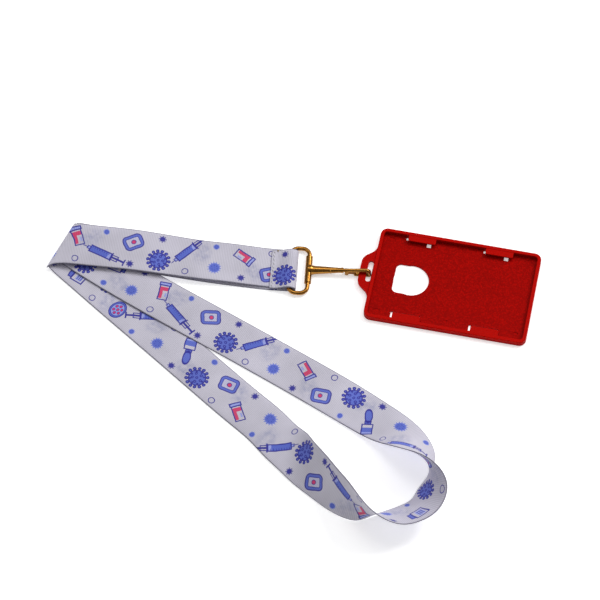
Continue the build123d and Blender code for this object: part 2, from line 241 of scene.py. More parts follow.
def ribbon_shape(width, thickness, steps, columns):
    """The ribbon's closed strip. A point is the centre line, plus its place across divided by the sine
    of the angle between the across line and the run, plus or minus half the thickness along the normal.
    UV is metres along the cloth and metres across it, turned over on the under side so that either
    side, seen from outside, carries the same print the same way round."""
    route = np.array(ROUTE, float)
    route[:, :3] *= MM
    chords = np.linalg.norm(np.diff(route[:, :3], axis=0), axis=1)
    knots = np.concatenate([[0], np.cumsum(np.sqrt(chords))])
    parts = [np.linspace(a, b, steps, endpoint=False) for a, b in zip(knots, knots[1:])]
    where = np.concatenate(parts + [knots[-1:]])
    values = natural_spline(knots, route, where)
    centre = values[:, :3]
    across = values[:, 3:] / np.linalg.norm(values[:, 3:], axis=1)[:, None]
    tangent = np.gradient(centre, where, axis=0)
    tangent /= np.linalg.norm(tangent, axis=1)[:, None]
    normal = np.cross(across, tangent)
    sine = np.linalg.norm(normal, axis=1)
    normal /= sine[:, None]
    cosine = (across * tangent).sum(1)
    run = np.concatenate([[0], np.cumsum(np.linalg.norm(np.diff(centre, axis=0), axis=1))])
    v = np.linspace(-1, 1, columns + 1)
    v = np.sign(v) * (1 - (1 - np.abs(v)) ** EDGE_CROWDING)
    half = thickness / 2 * (1 - EDGE_THINNING * np.abs(v) ** EDGE_SHARPNESS)
    v = v * width / 2
    flat = centre[:, None] + across[:, None] * v[None, :, None] / sine[:, None, None]
    lift = normal[:, None] * half[None, :, None]
    loop = np.concatenate([flat + lift, (flat - lift)[:, ::-1]], axis=1)
    along = run[:, None] + v[None] * (cosine / sine)[:, None]
    place = np.broadcast_to(v, along.shape)
    top_uv = np.stack([along, -place], -1)
    under_uv = np.stack([along, place], -1)[:, ::-1]
    rows, m = loop.shape[0], 2 * (columns + 1)
    quads = grid_quads(rows, m)
    uv = np.concatenate([top_uv, under_uv], axis=1).reshape(-1, 2)[quads]
    for j in (columns, m - 1):
        side = np.arange(rows - 1) * m + j
        near = (0, 3) if j == columns else (1, 2)
        far = (1, 2) if j == columns else (0, 3)
        uv[side, far[0]] = uv[side, near[0]]
        uv[side, far[1]] = uv[side, near[1]]
    j = np.arange(columns)
    caps, cap_uv = [], []
    for row, turned in ((0, False), (rows - 1, True)):
        base = row * m
        cap = np.stack([base + j, base + m - 1 - j, base + m - 2 - j, base + j + 1], -1)
        cap_uv.append(top_uv[row][np.stack([j, j, j + 1, j + 1], -1)])
        if turned:
            cap, cap_uv[-1] = cap[:, ::-1], cap_uv[-1][:, ::-1]
        caps.append(cap)
    quads = np.concatenate([quads] + caps)
    uv = np.concatenate([uv] + cap_uv)
    verts = loop.reshape(-1, 3)
    if outward(verts, quads) is not quads:
        quads, uv = quads[:, ::-1], uv[:, ::-1]
    return verts, quads, uv, run[-1]


# ---------------------------------------------------------------- node sheets

class NodeSheet:
    """Adds nodes to a node tree, joined or set by value."""

    def __init__(self, tree):
        self.tree = tree

    def put(self, kind, inputs=None, out=0, **settings):
        node = self.tree.nodes.new(kind)
        for key, value in settings.items():
            setattr(node, key, value)
        for key, value in (inputs or {}).items():
            if isinstance(value, bpy.types.NodeSocket):
                self.tree.links.new(value, node.inputs[key])
            else:
                node.inputs[key].default_value = value
        return node.outputs[out]

    def math(self, operation, *values, clamp=False):
        return self.put("ShaderNodeMath", dict(enumerate(values)), operation=operation, use_clamp=clamp)

    def vector(self, operation, *values, out=0):
        return self.put("ShaderNodeVectorMath", dict(enumerate(values)), out, operation=operation)

    def largest(self, *values):
        result = values[0]
        for value in values[1:]:
            result = self.math("MAXIMUM", result, value)
        return result

    def inside(self, distance, reach=0.0, soft=0.14):
        """One where the distance is under reach, falling to none over the soft width."""
        return self.math("MULTIPLY_ADD", distance, -1 / soft, reach / soft + 0.5, clamp=True)

    def line(self, distance, half=0.26):
        return self.inside(self.math("ABSOLUTE", distance), half)

    def disc(self, point, x, y, radius):
        """Distance to a circle's edge, negative inside."""
        return self.math("SUBTRACT", self.vector("DISTANCE", point, (x, y, 0), out=1), radius)

    def box(self, point, x, y, half_x, half_y):
        """Distance to a box's edge by its larger overhang, negative inside."""
        away = self.vector("ABSOLUTE", self.vector("SUBTRACT", point, (x, y, 0)))
        over = self.vector("SUBTRACT", away, (half_x, half_y, 0))
        parts = self.put("ShaderNodeSeparateXYZ", {0: over}).node
        return self.math("MAXIMUM", parts.outputs[0], parts.outputs[1])

    def noise(self, scale, vector, detail=2.0, rough=0.5, kind="3D"):
        return self.put("ShaderNodeTexNoise", {"Vector": vector, "Scale": scale, "Detail": detail,
                                               "Roughness": rough}, noise_dimensions=kind)

    def mix(self, factor, a, b):
        node = self.tree.nodes.new("ShaderNodeMix")
        node.data_type = "RGBA"
        for socket, value in ((node.inputs[0], factor), (node.inputs[6], a), (node.inputs[7], b)):
            if isinstance(value, bpy.types.NodeSocket):
                self.tree.links.new(value, socket)
            else:
                socket.default_value = value if socket == node.inputs[0] else (*value[:3], 1)
        return node.outputs[2]


LAYERS = ("light", "mid", "pink", "dark")


def motif(name, draw):
    """A node group that turns a point in millimetres into its four ink amounts."""
    tree = bpy.data.node_groups.new(name, "ShaderNodeTree")
    tree.interface.new_socket("point", in_out="INPUT", socket_type="NodeSocketVector")
    for layer in LAYERS:
        tree.interface.new_socket(layer, in_out="OUTPUT", socket_type="NodeSocketFloat")
    sheet = NodeSheet(tree)
    point = tree.nodes.new("NodeGroupInput").outputs[0]
    inks = draw(sheet, point)
    end = tree.nodes.new("NodeGroupOutput")
    for i, layer in enumerate(LAYERS):
        if layer in inks:
            tree.links.new(inks[layer], end.inputs[i])
        else:
            end.inputs[i].default_value = 0
    return tree


def polar(s, point, count):
    """Radius, and the point folded into one of count equal wedges about +x."""
    parts = s.put("ShaderNodeSeparateXYZ", {0: point}).node
    radius = s.vector("LENGTH", point, out=1)
    angle = s.math("ARCTAN2", parts.outputs[1], parts.outputs[0])
    wedge = s.math("WRAP", angle, math.pi / count, -math.pi / count)
    x = s.math("MULTIPLY", radius, s.math("COSINE", wedge))
    y = s.math("MULTIPLY", radius, s.math("SINE", wedge))
    return radius, s.put("ShaderNodeCombineXYZ", {0: x, 1: y})


def draw_germ(s, point):
    """A round body with small rings in it and ring-ended spikes all round."""
    radius, wedge = polar(s, point, 14)
    body = s.math("SUBTRACT", radius, 4.9)
    bud = s.disc(wedge, 6.15, 0, 0.72)
    stalk = s.box(wedge, 5.3, 0, 0.45, 0.3)
    inner_radius, inner = polar(s, point, 5)
    spots = s.math("MINIMUM", s.disc(inner, 2.75, 0, 0.62), s.math("SUBTRACT", inner_radius, 0.6))
    outer = polar(s, s.put("ShaderNodeMapping", {0: point, 2: (0, 0, 0.4)}), 8)[1]
    spots = s.math("MINIMUM", spots, s.disc(outer, 4.0, 0, 0.34))
    return {
        "mid": s.largest(s.inside(body), s.inside(bud)),
        "dark": s.largest(s.line(body, 0.36), s.line(bud, 0.36), s.inside(stalk), s.line(spots, 0.26)),
    }


def draw_sun(s, point):
    """A fuzzy pale germ: a soft disc with short rays all round."""
    radius, wedge = polar(s, point, 14)
    rays = s.box(wedge, 3.0, 0, 0.85, 0.22)
    spots = polar(s, point, 6)[1]
    return {
        "light": s.largest(s.inside(radius, 3.1), s.inside(rays)),
        "mid": s.largest(s.inside(radius, 2.8, 0.9), s.inside(rays, -0.06)),
        "dark": s.math("MULTIPLY", s.inside(s.disc(spots, 1.5, 0, 0.3)), 0.5),
    }


def draw_speck(s, point):
    """A tiny dark germ with short blunt arms."""
    radius, wedge = polar(s, point, 8)
    return {"dark": s.largest(s.inside(radius, 1.75, 0.6), s.inside(s.disc(wedge, 2.1, 0, 0.36), 0, 0.4))}


def draw_syringe(s, point):
    """Barrel, plunger, finger plate and needle hub, all boxes along x."""
    barrel = s.box(point, -1.5, 0, 6.0, 1.75)
    liquid = s.box(point, -2.6, 0, 4.9, 1.6)
    rod = s.box(point, 7.7, 0, 3.8, 0.55)
    guide = s.box(point, 5.9, 0, 1.9, 1.35)
    thumb = s.box(point, 11.6, 0, 0.42, 1.9)
    plate = s.box(point, 4.5, 0, 0.36, 2.5)
    hub = s.box(point, -8.3, 0, 0.8, 0.75)
    needle = s.box(point, -10.0, 0, 1.4, 0.22)
    marks = s.box(s.put("ShaderNodeCombineXYZ", {
        0: s.math("WRAP", s.put("ShaderNodeSeparateXYZ", {0: point}), 0.65, -0.65),
        1: s.put("ShaderNodeSeparateXYZ", {0: point}, 1)}), 0, 1.1, 0.14, 0.6)
    in_barrel = s.inside(s.box(point, -1.5, 0, 5.4, 1.7))
    return {
        "mid": s.inside(liquid),
        "light": s.largest(s.inside(barrel), s.inside(hub)),
        "dark": s.largest(s.line(barrel, 0.32), s.inside(rod), s.line(guide, 0.26), s.inside(thumb),
                          s.inside(plate), s.line(hub, 0.2), s.inside(needle),
                          s.math("MULTIPLY", s.inside(marks), in_barrel)),
    }


def draw_tube(s, point):
    """A stoppered tube with a pink label round its middle."""
    glass = s.box(point, 0.6, 0, 4.6, 2.6)
    stopper = s.box(point, -5.0, 0, 0.9, 3.1)
    label = s.box(point, 0.7, 0, 3.7, 2.3)
    window = s.box(point, 1.9, 1.0, 2.5, 1.6)
    pink = s.math("SUBTRACT", s.inside(label), s.inside(window), clamp=True)
    return {
        "light": s.largest(s.inside(stopper), s.inside(s.box(point, 1.9, 1.3, 1.2, 0.5))),
        "pink": pink,
        "dark": s.largest(s.line(glass, 0.34), s.line(stopper, 0.34)),
    }


def draw_dropper(s, point):
    """A dropper bottle: a long rounded bulb, a collar and a square shoulder."""
    stretched = s.vector("MULTIPLY", s.vector("SUBTRACT", point, (-4.6, 0, 0)), (0.52, 1, 1))
    bulb = s.math("SUBTRACT", s.vector("LENGTH", stretched, out=1), 2.0)
    collar = s.box(point, -0.6, 0, 0.9, 1.6)
    bottle = s.box(point, 3.8, 0, 3.2, 2.9)
    label = s.box(point, 4.2, 0, 1.5, 2.9)
    return {
        "mid": s.largest(s.inside(bulb), s.inside(collar), s.inside(label)),
        "light": s.inside(s.box(point, 6.2, 0, 0.6, 2.7)),
        "dark": s.largest(s.line(bulb, 0.3), s.line(collar, 0.3), s.line(bottle, 0.32)),
    }


def draw_jar(s, point):
    """A square capped jar with a lined label."""
    jar = s.box(point, 0.5, 0, 3.3, 3.4)
    cap = s.box(point, -3.9, 0, 1.0, 2.6)
    parts = s.put("ShaderNodeSeparateXYZ", {0: point}).node
    step = s.math("WRAP", parts.outputs[0], 0.55, -0.55)
    rows = s.put("ShaderNodeCombineXYZ", {0: step, 1: parts.outputs[1]})
    label = s.inside(s.box(point, 1.0, 0, 1.6, 2.2))
    lines = s.math("MULTIPLY", s.inside(s.box(rows, 0, 0, 0.2, 2.1)), label)
    return {
        "mid": s.inside(cap),
        "light": s.inside(s.box(point, 1.0, 0, 1.9, 2.5)),
        "dark": s.largest(s.line(jar, 0.34), s.line(cap, 0.3), lines),
    }


def draw_dish(s, point):
    """A shallow dish seen from above, with pink cells in it."""
    flat = s.vector("MULTIPLY", point, (1, 1.25, 1))
    rim = s.disc(flat, 0, 0, 5.4)
    well = s.disc(flat, 0, 0, 4.3)
    inner_radius, inner = polar(s, flat, 6)
    cells = s.math("MINIMUM", s.disc(inner, 2.6, 0, 0.85), s.math("SUBTRACT", inner_radius, 0.85))
    return {
        "light": s.inside(rim),
        "mid": s.math("SUBTRACT", s.inside(rim), s.inside(well), clamp=True),
        "pink": s.inside(cells),
        "dark": s.largest(s.line(rim, 0.3), s.line(well, 0.22), s.line(cells, 0.16)),
    }


def draw_kit(s, point):
    """A rounded test case with a pink dot."""
    away = s.vector("MAXIMUM", s.vector("SUBTRACT", s.vector("ABSOLUTE", point), (2.6, 1.7, 0)), (0, 0, 0))
    case = s.math("SUBTRACT", s.vector("LENGTH", away, out=1), 2.2)
    dot = s.disc(point, 0.3, 0, 1.1)
    return {
        "light": s.math("MULTIPLY", s.inside(case, -1.5), 0.25),
        "mid": s.math("SUBTRACT", s.inside(case, -0.3), s.inside(case, -1.5), clamp=True),
        "pink": s.inside(dot),
        "dark": s.largest(s.line(case, 0.3), s.line(s.math("ADD", case, 1.5), 0.16), s.line(dot, 0.18)),
    }


def draw_ring(s, point):
    return {"dark": s.line(s.disc(point, 0, 0, 1.7), 0.24)}


# The print's motifs: how each is drawn and its size.
MOTIFS = {
    "germ": (draw_germ, 0.95), "tube": (draw_tube, 1.0), "sun": (draw_sun, 1.0),
    "small_sun": (draw_sun, 0.52), "syringe": (draw_syringe, 1.1), "kit": (draw_kit, 1.1),
    "speck": (draw_speck, 0.9), "dish": (draw_dish, 1.0), "jar": (draw_jar, 1.1),
    "dropper": (draw_dropper, 1.05), "ring": (draw_ring, 1.0),
}
# One repeat of the print, laid out by rule in millimetres and degrees.
BIG_MOTIFS = ("germ", "syringe", "sun", "tube", "kit", "germ", "dropper", "sun", "syringe", "dish", "germ",
              "jar", "sun", "tube", "syringe", "kit")
SMALL_MOTIFS = ("speck", "ring", "small_sun")
PRINT_PITCH = 15.5
BIG_OFFSET = 4.5
SMALL_OFFSET = 9.0
TURN_STEP = 50
PRINT_REPEAT = len(BIG_MOTIFS) * PRINT_PITCH * MM


def print_places(name):
    """A motif's places. The big ones take turns either side of the centre line at an even pitch, each
    turned on from the last by one step, and a small one sits across from each."""
    places = []
    for i, big in enumerate(BIG_MOTIFS):
        side = 1 if i % 2 else -1
        along = (i + 0.5) * PRINT_PITCH
        turn = i * TURN_STEP % 360
        if big == name:
            places.append((along, side * BIG_OFFSET, turn))
        if SMALL_MOTIFS[i % len(SMALL_MOTIFS)] == name:
            places.append((along, -side * SMALL_OFFSET, turn))
    return places


# The other side's print as it shows through, by the same kind of rule.
SHOW_THROUGH = [((i + 1) * 2 * PRINT_PITCH, BIG_OFFSET * (-1) ** i, i * TURN_STEP % 360) for i in range(7)]


def new_material(name):
    material = bpy.data.materials.new(name)
    material.use_nodes = True
    material.node_tree.nodes.clear()
    sheet = NodeSheet(material.node_tree)
    shader = material.node_tree.nodes.new("ShaderNodeBsdfPrincipled")
    end = material.node_tree.nodes.new("ShaderNodeOutputMaterial")
    material.node_tree.links.new(shader.outputs[0], end.inputs[0])
    return material, sheet, shader


def bump(s, shader, height, distance, strength=1.0):
    normal = s.put("ShaderNodeBump", {"Height": height, "Distance": distance, "Strength": strength})
    s.tree.links.new(normal, shader.inputs["Normal"])


def nearest_place(s, along, across, places, repeat, size):
    """The point measured from the nearest place along the repeat, turned with it, in units of size. The
    place is looked up in a stepped ramp that holds along, across and turn as shares of their ranges."""
    places = sorted((x * MM, y * MM, turn) for x, y, turn in places)
    wrap = (places[-1][0] + places[0][0] + repeat) / 2
    steps = [(0.0, places[0] if wrap < repeat else places[-1]), (wrap % repeat, places[0])]
    steps += [((a[0] + b[0]) / 2, b) for a, b in zip(places, places[1:])]
    share = s.math("FRACT", s.math("DIVIDE", along, repeat))
    ramp = s.put("ShaderNodeValToRGB", {0: share}).node
    ramp.color_ramp.interpolation = "CONSTANT"
    elements = ramp.color_ramp.elements
    while len(elements) < len(steps):
        elements.new(0.5)
    for element, (x, (to_x, to_y, turn)) in zip(list(elements), sorted(steps)):
        element.position = x / repeat
        element.color = (to_x / repeat, to_y / PLACE_REACH + 0.5, turn / 360, 1)
    found = s.put("ShaderNodeSeparateColor", {0: ramp.outputs[0]}).node
    off_x = s.math("WRAP", s.math("SUBTRACT", share, found.outputs[0]), 0.5, -0.5)
    across = s.math("MULTIPLY_ADD", across, 1 / size, 0.5 * PLACE_REACH / size)
    off_y = s.math("MULTIPLY_ADD", found.outputs[1], -PLACE_REACH / size, across)
    away = s.put("ShaderNodeCombineXYZ", {0: s.math("MULTIPLY", off_x, repeat / size), 1: off_y})
    angle = s.math("MULTIPLY", found.outputs[2], -2 * math.pi)
    return s.put("ShaderNodeVectorRotate", {"Vector": away, "Angle": angle}, rotation_type="Z_AXIS")


def ribbon_material(look):
    """Woven ribbon: ribs across it, a thread grain along it, the print in four inks, and the other
    side's print showing through as a pale blur. Painted shade darkens the rib hollows and a band
    along each edge."""
    material, s, shader = new_material("printed_ribbon_cloth")
    uv = s.put("ShaderNodeUVMap", uv_map="UVMap")
    parts = s.put("ShaderNodeSeparateXYZ", {0: uv}).node
    along, across = parts.outputs[0], parts.outputs[1]
    warp = s.noise(180.0, uv, 2.0, 0.5, "2D")
    wobble = s.math("MULTIPLY_ADD", warp, INK_WOBBLE, -INK_WOBBLE / 2)
    inks = {}
    repeat = look.print_repeat
    wavy = s.math("ADD", along, wobble)
    for name, (draw, size) in MOTIFS.items():
        group = motif("print_" + name, draw)
        node = s.tree.nodes.new("ShaderNodeGroup")
        node.node_tree = group
        point = nearest_place(s, wavy, across, print_places(name), repeat, size * MM)
        s.tree.links.new(point, node.inputs[0])
        for i, layer in enumerate(LAYERS):
            if any(link.to_socket.name == layer for link in group.links):
                ink = node.outputs[i]
                inks[layer] = s.largest(inks[layer], ink) if layer in inks else ink
    rib = s.math("SINE", s.math("MULTIPLY", along, 2 * math.pi / look.rib_pitch))
    thread = s.math("SINE", s.math("MULTIPLY", across, 2 * math.pi / look.thread_pitch))
    weave = s.math("MULTIPLY", rib, thread)
    edge = s.math("ABSOLUTE", across)
    selvedge_shade = s.math("MULTIPLY_ADD", edge, 1 / (SELVEDGE_SHADE_FADE * MM), -SELVEDGE_SHADE_START / SELVEDGE_SHADE_FADE,
                      clamp=True)
    blotch = s.noise(38.0, uv, 2.0, 0.55, "2D")
    spot = nearest_place(s, along, across, SHOW_THROUGH, repeat, MM)
    stretched = s.vector("MULTIPLY", spot, (1, 0.7, 1))
    ghost = s.inside(s.vector("LENGTH", stretched, out=1), 4.6, 3.4)
    patchy = s.math("MULTIPLY_ADD", s.noise(320.0, uv, 2.0, 0.6, "2D"), 2.2, -0.6, clamp=True)
    ghost = s.math("MULTIPLY", ghost, patchy)
    colour = s.mix(s.math("MULTIPLY", ghost, 0.75), look.ground_colour, look.ghost_colour)
    fade = s.math("MULTIPLY_ADD", weave, 0.05, 0.97)
    strengths = {"light": (look.light_colour, 0.95), "mid": (look.mid_colour, 0.98),
                 "pink": (look.pink_colour, 0.95), "dark": (look.line_colour, 1.0)}
    for layer in LAYERS:
        ink, strength = strengths[layer]
        amount = s.math("MULTIPLY", inks[layer], s.math("MULTIPLY", fade, strength))
        colour = s.mix(amount, colour, ink)
    # Painted shade: a dark band along each edge of the ribbon.
    colour = s.mix(s.math("MULTIPLY", selvedge_shade, 0.8), colour, look.edge_shade_colour)
    # Painted shade: the ribs and weave are painted darker where their bump is low; the blotches add random
    # tone.
    shade = s.math("MULTIPLY_ADD", rib, 0.05, 0.5)
    shade = s.math("MULTIPLY_ADD", s.math("SUBTRACT", blotch, 0.5), 0.18, shade)
    shade = s.math("MULTIPLY_ADD", weave, 0.05, shade)
    level = s.math("MULTIPLY", shade, 2.0)
    tint = s.put("ShaderNodeCombineXYZ", {0: level, 1: level, 2: level})
    colour = s.vector("MULTIPLY", colour, tint)
    s.tree.links.new(colour, shader.inputs["Base Color"])
    shader.inputs["Roughness"].default_value = 0.62
    shader.inputs["Specular IOR Level"].default_value = 0.32
    shader.inputs["Sheen Weight"].default_value = 0.18
    shader.inputs["Sheen Roughness"].default_value = 0.45
    height = s.math("ADD", s.math("MULTIPLY", rib, 0.6), s.math("MULTIPLY", weave, 0.4))
    height = s.math("MULTIPLY_ADD", selvedge_shade, 0.6, height)
    bump(s, shader, height, 0.07 * MM, 0.7)
    return material


def thread_material(name, colour):
    """Twisted sewing thread: slanting bands of shade along each stitch."""
    material, s, shader = new_material(name)
    uv = s.put("ShaderNodeUVMap", uv_map="UVMap")
    parts = s.put("ShaderNodeSeparateXYZ", {0: uv}).node
    slant = s.math("ADD", parts.outputs[0], parts.outputs[1])
    ply = s.math("SINE", s.math("MULTIPLY", slant, 2 * math.pi * 2))
    dark = tuple(c * 0.6 for c in colour)
    fluff = s.noise(3000.0, s.put("ShaderNodeTexCoord", out=3), 2.0)
    amount = s.math("MULTIPLY_ADD", ply, 0.3, s.math("MULTIPLY", fluff, 0.8), clamp=True)
    s.tree.links.new(s.mix(amount, dark, colour), shader.inputs["Base Color"])
    shader.inputs["Roughness"].default_value = 0.7
    shader.inputs["Sheen Weight"].default_value = 0.2
    bump(s, shader, ply, 0.04 * MM, 0.8)
    return material


def plastic_material(look):
    """Moulded red plastic: a fine spark-eroded grain with its hollows painted darker as shade, a duller
    floor, and a painted highlight that brightens the red up the raised rim.
    """
    material, s, shader = new_material("moulded_red_plastic")
    point = s.put("ShaderNodeTexCoord", out=3)
    height = s.put("ShaderNodeSeparateXYZ", {0: point}, 2)
    raised = s.math("MULTIPLY_ADD", height, 1 / (RIM_RISE * MM), -RIM_START / RIM_RISE, clamp=True)
    grain = s.noise(1 / (look.grain_size * 2), point, 3.0, 0.6)
    flow = s.noise(42.0, point, 3.0, 0.5)
    speck = s.math("MULTIPLY_ADD", grain, 4.5, -2.0, clamp=True)
    # Painted shade: the grain's hollows take the darker red.
    colour = s.mix(speck, look.shadow_colour, look.colour)
    colour = s.mix(s.math("MULTIPLY", flow, 0.35), colour, look.colour)
    # Painted highlight: the red brightens with height up the rim.
    colour = s.mix(s.math("MULTIPLY", raised, 0.55), colour, look.rim_highlight_colour)
    s.tree.links.new(colour, shader.inputs["Base Color"])
    rough = s.math("MULTIPLY_ADD", grain, 0.3, look.roughness - 0.12)
    rough = s.math("MULTIPLY_ADD", raised, -0.1, rough)
    s.tree.links.new(rough, shader.inputs["Roughness"])
    shader.inputs["Specular IOR Level"].default_value = 0.02
    shader.inputs["Subsurface Weight"].default_value = 0.06
    shader.inputs["Subsurface Radius"].default_value = (0.002, 0.0004, 0.0003)
    shader.inputs["Subsurface Scale"].default_value = 1.0
    bump(s, shader, grain, 0.06 * MM, 0.45)
    return material


def brass_material(name, colour, dark, roughness, wear=1.0):
    """Plated metal: cast waviness, darker deposits in patches, fine scratches and worn bright spots."""
    material, s, shader = new_material(name)
    point = s.put("ShaderNodeTexCoord", out=3)
    cast = s.noise(240.0, point, 3.0, 0.55)
    fine = s.noise(2200.0, point, 2.0, 0.6)
    stretched = s.put("ShaderNodeMapping", {0: point, 2: (0, 0, -CLIP_TURN), 3: (300.0, 5200.0, 5200.0)})
    scratch = s.noise(1.0, stretched, 2.0, 0.6)
    patch = s.math("MULTIPLY_ADD", cast, 2.4, -0.95, clamp=True)
    base = s.mix(s.math("MULTIPLY", patch, 0.75 * wear), colour, dark)
    bright = tuple(min(1, c * 1.25) for c in colour)
    base = s.mix(s.math("MULTIPLY_ADD", fine, 0.8, -0.3, clamp=True), base, bright)
    s.tree.links.new(base, shader.inputs["Base Color"])
    shader.inputs["Metallic"].default_value = 1.0
    rough = s.math("MULTIPLY_ADD", patch, 0.16, roughness)
    rough = s.math("MULTIPLY_ADD", s.math("SUBTRACT", scratch, 0.5), 0.2, rough)
    s.tree.links.new(rough, shader.inputs["Roughness"])
    height = s.math("ADD", cast, s.math("MULTIPLY", scratch, 0.12))
    bump(s, shader, height, 0.08 * MM, 0.6)
    return material


def dress(node, material):
    """Gives a CAD node its one material."""
    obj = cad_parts[node]
    obj.data.materials.clear()
    obj.data.materials.append(material)


# ---------------------------------------------------------------- settings

def colour_property(name, text, value):
    return FloatVectorProperty(name=name, description=text, default=value, size=3, min=0, max=1,
                               subtype="COLOR")


class BadgeRibbonSettings(bpy.types.PropertyGroup):
    width: FloatProperty(name="Width", description="Ribbon width", default=0.025, unit="LENGTH")
    thickness: FloatProperty(name="Thickness", description="Ribbon thickness", default=0.0008, unit="LENGTH")
    steps: IntProperty(name="Steps", description="Rows in each span of the route", default=16, min=4)
    columns: IntProperty(name="Columns", description="Columns across the ribbon", default=16, min=4)
    print_repeat: FloatProperty(name="Print repeat", description="Length of one print", default=PRINT_REPEAT,
                                unit="LENGTH")
    rib_pitch: FloatProperty(name="Rib pitch", description="Rib spacing along the cloth", default=0.0009,
                             unit="LENGTH")
    thread_pitch: FloatProperty(name="Thread pitch", description="Thread spacing across", default=0.0006,
                                unit="LENGTH")
    ground_colour: colour_property("Ground", "Unprinted cloth", (0.57, 0.55, 0.64))
    ghost_colour: colour_property("Show-through", "Print showing through", (0.33, 0.34, 0.50))
    light_colour: colour_property("Light ink", "Pale fills", (0.30, 0.35, 0.78))
    mid_colour: colour_property("Mid ink", "Blue fills", (0.085, 0.13, 0.58))
    line_colour: colour_property("Line ink", "Outlines", (0.022, 0.02, 0.30))
    pink_colour: colour_property("Pink ink", "Pink accents", (0.66, 0.010, 0.115))
    # The dark edge colour is painted shade along the ribbon's edges.
    edge_shade_colour: colour_property("Selvedge", "Woven edges", (0.11, 0.105, 0.16))


class BadgeThreadSettings(bpy.types.PropertyGroup):
    count: IntProperty(name="Stitches", description="Stitches in the seam", default=10, min=1)
    diameter: FloatProperty(name="Thread", description="Thread diameter", default=0.00040, unit="LENGTH")
    length: FloatProperty(name="Stitch length", description="Length of a stitch", default=0.0022,
                          unit="LENGTH")
    slant: FloatProperty(name="Slant", description="Stitch slant", default=math.radians(24), subtype="ANGLE")
    colour: colour_property("Thread colour", "Seam thread", (0.78, 0.77, 0.80))
    knot_colour: colour_property("Knot colour", "Knot thread", (0.42, 0.28, 0.10))


class BadgePlasticSettings(bpy.types.PropertyGroup):
    colour: colour_property("Red", "Plastic body", (0.47, 0.0022, 0.0006))
    shadow_colour: colour_property("Dark red", "Grain hollows", (0.25, 0.0008, 0.0002))
    # The bright red is a painted highlight on the rim tops.
    rim_highlight_colour: colour_property("Bright red", "Raised edges", (0.56, 0.004, 0.0015))
    grain_size: FloatProperty(name="Grain", description="Spark grain size", default=0.0004, unit="LENGTH")
    roughness: FloatProperty(name="Roughness", description="Plastic roughness", default=0.36, min=0, max=1)


class BadgeBrassSettings(bpy.types.PropertyGroup):
    colour: colour_property("Gold", "Plated metal", (0.36, 0.165, 0.032))
    dark_colour: colour_property("Tarnish", "Dark deposits", (0.10, 0.032, 0.003))
    spring_colour: colour_property("Spring", "Spring wire", (0.42, 0.40, 0.36))
    roughness: FloatProperty(name="Roughness", description="Metal roughness", default=0.2, min=0, max=1)


class BadgeStageSettings(bpy.types.PropertyGroup):
    floor_colour: colour_property("Floor", "Floor colour", (0.92, 0.92, 0.92))
    floor_size: FloatProperty(name="Floor size", description="Width of the floor", default=6.0,
                              unit="LENGTH")
    floor_glow: FloatProperty(name="Floor glow", description="The floor's own light", default=0.45, min=0)
    sky_dim: FloatProperty(name="Sky, dim side", description="Light from the front", default=0.08, min=0)
    sky_bright: FloatProperty(name="Sky, bright side", description="Light from the back", default=0.50,
                              min=0)
    lens: FloatProperty(name="Lens", description="Focal length in millimetres", default=192.0)
    eye: FloatVectorProperty(name="Eye", description="Camera place", default=(0.0988, -0.9162, 1.5154),
                             size=3, subtype="TRANSLATION", unit="LENGTH")
    aim: FloatVectorProperty(name="Aim", description="Camera turn", size=3, subtype="EULER",
                             default=(math.radians(30.99), 0, math.radians(11.417)))


class BadgeHolderSettings(bpy.types.PropertyGroup):
    ribbon: PointerProperty(type=BadgeRibbonSettings, name="Ribbon", description="Printed ribbon")
    thread: PointerProperty(type=BadgeThreadSettings, name="Thread", description="Seam thread")
    plastic: PointerProperty(type=BadgePlasticSettings, name="Plastic", description="Card holder")
    brass: PointerProperty(type=BadgeBrassSettings, name="Brass", description="Clip metal")
    stage: PointerProperty(type=BadgeStageSettings, name="Stage", description="Floor, light and camera")


# ---------------------------------------------------------------- operators

